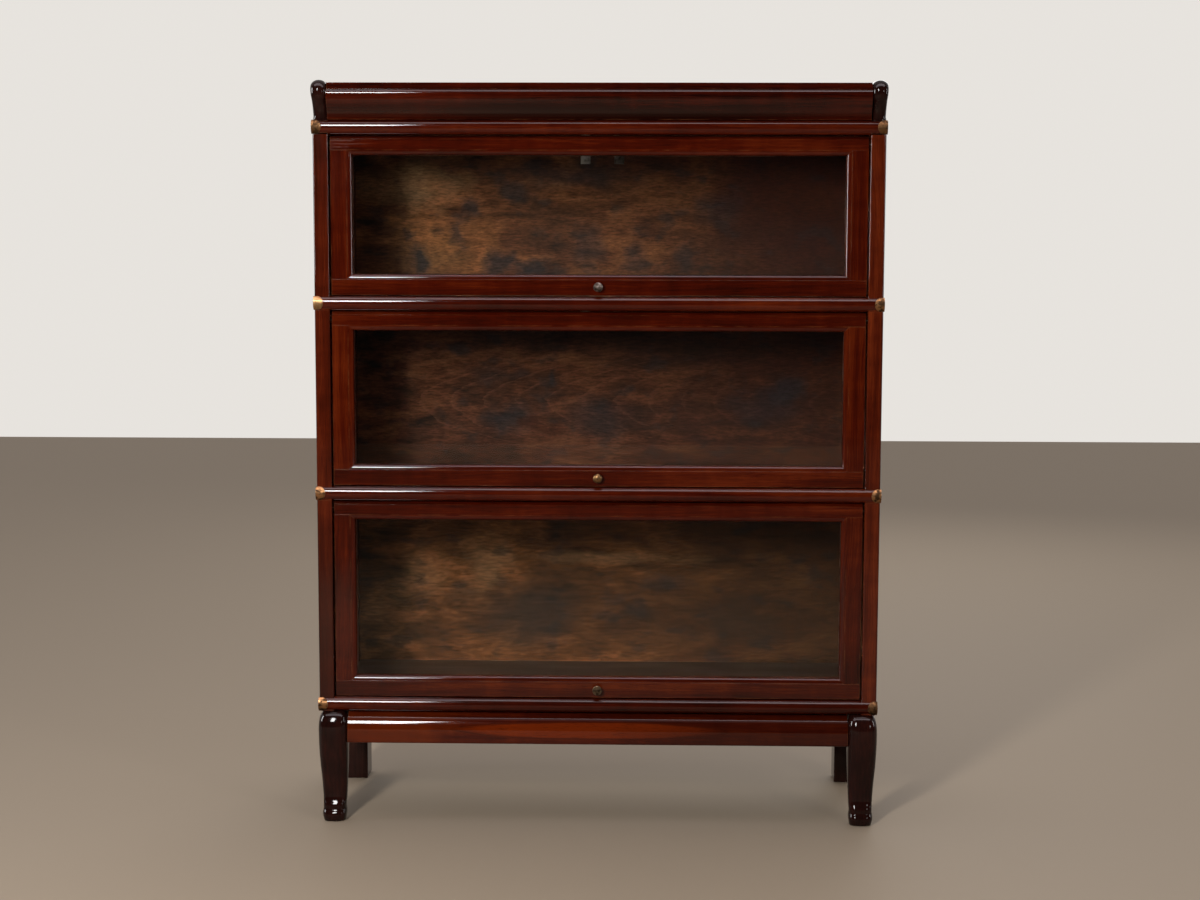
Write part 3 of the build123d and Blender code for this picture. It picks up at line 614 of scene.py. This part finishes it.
# ---- Front legs -----------------------------------------------------------------------------
# Height above the floor, then distance in from the CAD leg's box on that side, in mm.
LEG_FRONT = ((0, 9), (5, 6.2), (11, 4.8), (15, 6.2), (19, 9.2), (21.5, 9.2), (24, 8.2), (27.5, 9))
LEG_FRONT += ((32, 11.8), (38, 13.8), (50, 13.6), (85, 9), (125, 2.5))
LEG_FRONT += ((146, 0), (158, 1), (167, 5), (172, 9), (175, 14))
LEG_BACK = ((0, 8), (14, 6), (24, 7), (50, 7), (100, 2.5), (140, 0), (175, 0))
LEG_OUTER = ((0, 7), (8, 5.5), (14, 5.2), (22, 6), (32, 5.8), (60, 4.2))
LEG_OUTER += ((100, 1), (135, 0), (158, 0.6), (169, 3), (175, 7))
LEG_INNER = ((0, 5), (8, 3.8), (14, 3.4), (22, 4.2), (32, 3.6), (60, 2))
LEG_INNER += ((110, 0.3), (150, 0), (166, 1), (175, 5))
LEG_STEP = 2
LEG_POWER = 3.0


def front_legs(material):
    """Pair of cabriole-like legs: a full knee, a long taper, an ankle, a collar and a toe."""
    low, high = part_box("front_legs")
    top = round(high.z * 1000)
    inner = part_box("front_apron")[1].x
    rings = []
    for height in list(range(0, top, LEG_STEP)) + [top]:
        sides = (LEG_INNER, LEG_OUTER, LEG_FRONT, LEG_BACK)
        cut = [max(smooth_value(keys, height), 0) / 1000 for keys in sides]
        x = (inner + cut[0], high.x - cut[1])
        y = (low.y + cut[2], high.y - cut[3])
        rings.append(squircle(x, y, height / 1000, LEG_POWER))
    right = loft("leg", rings)
    legs = joined("shaped_front_legs", [right, mirrored_x(right)])
    add_piece("shaped_front_legs", legs, material, "case", "front_legs")


# ---- Cornice ends ---------------------------------------------------------------------------
SCROLL_RADIUS = 0.0185
SCROLL_TURN = 135              # degrees of full round, from the top forward
SCROLL_STEP = 9
SCROLL_TAIL = 0.044            # length over which the scroll's top runs down to the panel
SWEEP_START_PULL = 0.011
SWEEP_END_PULL = (-0.002, 0.015)
SWEEP_STEPS = 14
END_ROUND = 0.0095             # depth of the rounded front
END_ARRIS = 0.0012             # rounding of the edges behind it
END_STATIONS = 16
END_TAPER = 0.0022             # narrower at the foot, on the outer side


def cornice_end_outline():
    """Side view in (Y, Z) with outward normals, then how many points make the rounded front."""
    low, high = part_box("cornice_ends")
    nose_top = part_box("nose_rail_cornice")[1].z
    panel_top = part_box("cornice_top_panel")[1].z
    side_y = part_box("side_board_right_upper")[0].y
    centre = Vector((low.y + SCROLL_RADIUS, high.z - SCROLL_RADIUS))
    points = []
    for turn in range(0, SCROLL_TURN + 1, SCROLL_STEP):
        angle = math.radians(90 + turn)
        points.append(centre + SCROLL_RADIUS * Vector((math.cos(angle), math.sin(angle))))
    start = points[-1]
    start_pull = start + SWEEP_START_PULL * Vector((-math.sin(angle), math.cos(angle)))
    end = Vector((side_y, nose_top))
    end_pull = end + Vector(SWEEP_END_PULL)
    for i in range(1, SWEEP_STEPS + 1):
        t = i / SWEEP_STEPS
        curve = (1 - t) ** 3 * start + 3 * t * (1 - t) ** 2 * start_pull
        points.append(curve + 3 * t * t * (1 - t) * end_pull + t ** 3 * end)
    front = len(points)
    points += [Vector((side_y, low.z)), Vector((high.y, low.z)), Vector((high.y, panel_top))]
    tail = centre.x + SCROLL_TAIL
    rise = high.z - panel_top
    points += [Vector((tail, panel_top)), Vector((tail - SCROLL_TAIL * 0.5, panel_top + rise * 0.5))]
    count = len(points)
    normals = []
    for i in range(count):
        along = points[(i + 1) % count] - points[i - 1]
        normals.append(Vector((-along.y, along.x)).normalized())
    return points, normals, front


def cornice_ends(material):
    """Black end pieces: a scroll with a full round front, and eased arrises behind it."""
    points, normals, front = cornice_end_outline()
    low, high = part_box("cornice_ends")
    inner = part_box("cornice_moulding")[1].x
    nose_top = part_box("nose_rail_cornice")[1].z
    side_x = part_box("side_board_right_upper")[1].x
    rings = []
    for station in range(END_STATIONS + 1):
        angle = math.pi * station / END_STATIONS
        across = (1 - math.cos(angle)) / 2
        drop = 1 - math.sin(angle)
        ring = []
        for i, (point, normal) in enumerate(zip(points, normals)):
            depth = END_ROUND * drop if i < front else min(END_ROUND * drop, END_ARRIS)
            place = point + depth * normal
            taper = END_TAPER * (high.z - point.y) / (high.z - nose_top) if i < front else 0
            outer = side_x if point.y < nose_top + END_ARRIS else high.x - taper
            ring.append((inner + (outer - inner) * across, place.x, place.y))
        rings.append(ring)
    right = loft("scroll", rings)
    ends = joined("scrolled_cornice_ends", [right, mirrored_x(right)])
    piece = add_piece("scrolled_cornice_ends", ends, material, "case", "cornice_ends")
    piece.modifiers.new("shading", "WEIGHTED_NORMAL")


# ---- Knobs ----------------------------------------------------------------------------------
# Distance out from the door, then radius, in mm: collar, neck, then three differently worn heads.
KNOB_NECK = ((0, 0), (0, 6.0), (1.2, 6.0), (2.0, 5.6), (2.6, 4.2), (5.5, 3.9))
KNOB_HEADS = {
    "upper": ((6.6, 5.4), (8, 7.0), (9.4, 7.4), (11, 7.0), (12.4, 5.6), (13.2, 3.4), (13.6, 0)),
    "middle": ((6.6, 5.0), (7.8, 6.9), (9.2, 7.4), (11, 7.0), (12.8, 5.2), (13.8, 2.6), (14, 0)),
    "lower": ((6.6, 5.6), (8.2, 7.3), (10.4, 7.5), (11.2, 7.2), (11.4, 6), (11, 5.4), (11.6, 3), (11.8, 0)),
}
KNOB_TURNS = 48
KNOB_TIP = 0.05


def turned_knob(name, material):
    node = f"door_knob_{name}"
    low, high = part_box(node)
    centre = (low + high) / 2
    rings = []
    for out, radius in KNOB_NECK + KNOB_HEADS[name]:
        reach = max(radius, KNOB_TIP) / 1000
        ring = []
        for i in range(KNOB_TURNS):
            angle = 2 * math.pi * i / KNOB_TURNS
            x = centre.x + reach * math.cos(angle)
            z = centre.z + reach * math.sin(angle)
            ring.append((x, high.y - out / 1000, z))
        rings.append(ring)
    knob = joined(f"turned_knob_{name}", [loft("knob", rings)])
    piece = add_piece(f"turned_knob_{name}", knob, material, f"door_{name}", node)
    smooth = piece.modifiers.new("smooth", "SUBSURF")
    smooth.levels = 1
    smooth.render_levels = 1


# ---- Dressing the CAD nodes -----------------------------------------------------------------
# Centre (x, z) and half sizes of the apron's oval figure, the colours of its line and its inside.
APRON_FIGURE = ((-0.012, 0.148), (0.205, 0.0135), "240804", "7c2c07")
SCUFFS = (
    ((-0.392, 1.060), (0.022, 0.0012), "6c504a", 0.45),
    ((-0.382, 1.055), (0.030, 0.0009), "6c504a", 0.35),
    ((-0.398, 1.050), (0.014, 0.0010), "6c504a", 0.35),
)
# a tall darker strip over the brackets just right of the middle
BRACKET_DARKENING = (((0.050, 0.70), (0.040, 1.20), "160f0c", 0.95),)
APRON_MARKS = (
    ((0.36, 0.15), (0.26, 0.06), "2c0a03", 0.60),
    ((-0.34, 0.14), (0.10, 0.03), "6c2806", 0.50),
)
# painted shade: a dark band across the lower part of the cornice moulding, under its bead
CORNICE_PAINTED_SHADE = (((0, 1.100), (0.60, 0.016), "180502", 0.85),)
# painted shade darkening the lower part of the left side board
SIDE_PAINTED_SHADE = (((-0.43, 0.33), (0.05, 0.22), "2c0c05", 0.60),)
# three caps made darker, and a painted highlight on the left cap at z 0.806
CAP_MARKS_AND_SHEEN = (
    ((-0.434, 1.076), (0.016, 0.016), "43301f", 0.60),
    ((0.434, 1.076), (0.016, 0.016), "43301f", 0.60),
    # painted highlight: this cap made paler
    ((-0.434, 0.806), (0.016, 0.016), "c8a070", 0.50),
    ((0.430, 0.190), (0.016, 0.016), "43301f", 0.60),
)


def dress_section(name, across, upright, sides, beads, steel, glass):
    """Case boards, door and gear of one section."""
    for side in ("left", "right"):
        dress(f"side_board_{side}_{name}", sides, BOARD_ARRIS)
        dress(f"equaliser_arm_{side}_{name}", steel, STEEL_ARRIS)
    dress(f"back_panel_{name}", back_wood(name))
    dress(f"nose_rail_{name}", across, BOARD_ARRIS)
    dress(f"door_bottom_rail_{name}", across, BOARD_ARRIS)
    dress(f"door_stiles_{name}", upright, BOARD_ARRIS)
    dress(f"glazing_beads_{name}", beads, BEAD_ARRIS)
    dress(f"pivot_pins_{name}", steel, STEEL_ARRIS)
    dress(f"slide_carriage_{name}", steel, STEEL_ARRIS)
    set_material(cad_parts[f"door_glass_{name}"], glass)


def dress_all():
    across = wood("mahogany_across", "X", MAHOGANY)
    upright = wood("mahogany_upright", "Z", MAHOGANY)
    warm = wood("mahogany_warm", "X", MAHOGANY_WARM)
    scuffed = wood("mahogany_scuffed", "X", MAHOGANY, marks=SCUFFS)
    sides = wood("mahogany_sides", "Z", MAHOGANY_SIDE, marks=SIDE_PAINTED_SHADE)
    depth = wood("mahogany_depth", "Y", MAHOGANY_DEEP)
    beads = wood("mahogany_beads", "X", MAHOGANY_DEEP, coat=0.7, dulled=0.14)
    shelf_wood = wood("shelf_wood", "X", SHELF_WOOD, roughness=0.55, coat=0.15)
    carcase = wood("carcase_wood", "X", CARCASE_WOOD, roughness=0.7, coat=0)
    black = ebonised("ebonised_wood")
    rear_black = ebonised("ebonised_rear", ("1c0e0b", "2c1611", "402119"), "583424")
    brass = aged_metal("aged_brass", "a37750", "443020", 0.40, 170, (0.40, 0.60), CAP_MARKS_AND_SHEEN)
    steel = aged_metal("dark_steel", "6a645d", "3d3834", 0.44, 28, (0.36, 0.66))
    knobs = {
        "upper": aged_metal("knob_grey", "8c8078", "3a302a", 0.36, 160),
        "middle": aged_metal("knob_gold", "8c6c48", "402c1c", 0.36, 160),
        "lower": aged_metal("knob_dark", "6e5c48", "261c14", 0.38, 160),
    }
    glass = clear_glass("clear_glass")
    for name in SECTIONS:
        rails = warm if name == "lower" else across
        dress_section(name, rails, upright, sides, beads, steel, glass)
        dress(f"shelf_{name}", shelf_wood)
        dress(f"door_top_rail_{name}", scuffed if name == "upper" else across, BOARD_ARRIS)
        turned_knob(name, knobs[name])
    apron = wood("mahogany_apron", "X", MAHOGANY_WARM, marks=APRON_MARKS, figure=APRON_FIGURE)
    dress("front_apron", apron)
    dress("nose_rail_cornice", across, BOARD_ARRIS)
    dress("cornice_top_panel", wood("mahogany_top", "X", MAHOGANY_DEEP, coat=0.7, dulled=0.26), BOARD_ARRIS)
    dress("cornice_moulding", wood("mahogany_cornice", "X", MAHOGANY, marks=CORNICE_PAINTED_SHADE), MOULDING_ARRIS)
    dress("base_side_rails", depth)
    dress("base_back_rail", carcase)
    dress("cornice_back_rail", carcase)
    dress("brass_band_caps", brass, CAP_ARRIS)
    for node in ("side_bands", "band_screws", "equaliser_rivets"):
        dress(node, steel, SMALL_STEEL_ARRIS)
    brackets = aged_metal("bracket_steel", "8c8680", "3a3532", 0.42, 60, marks=BRACKET_DARKENING)
    dress("equaliser_brackets", brackets, SMALL_STEEL_ARRIS)
    dress("rear_legs", rear_black, LEG_ARRIS)
    front_legs(black)
    cornice_ends(black)


add_camera()
add_world()
add_lights()
add_floor()
dress_all()
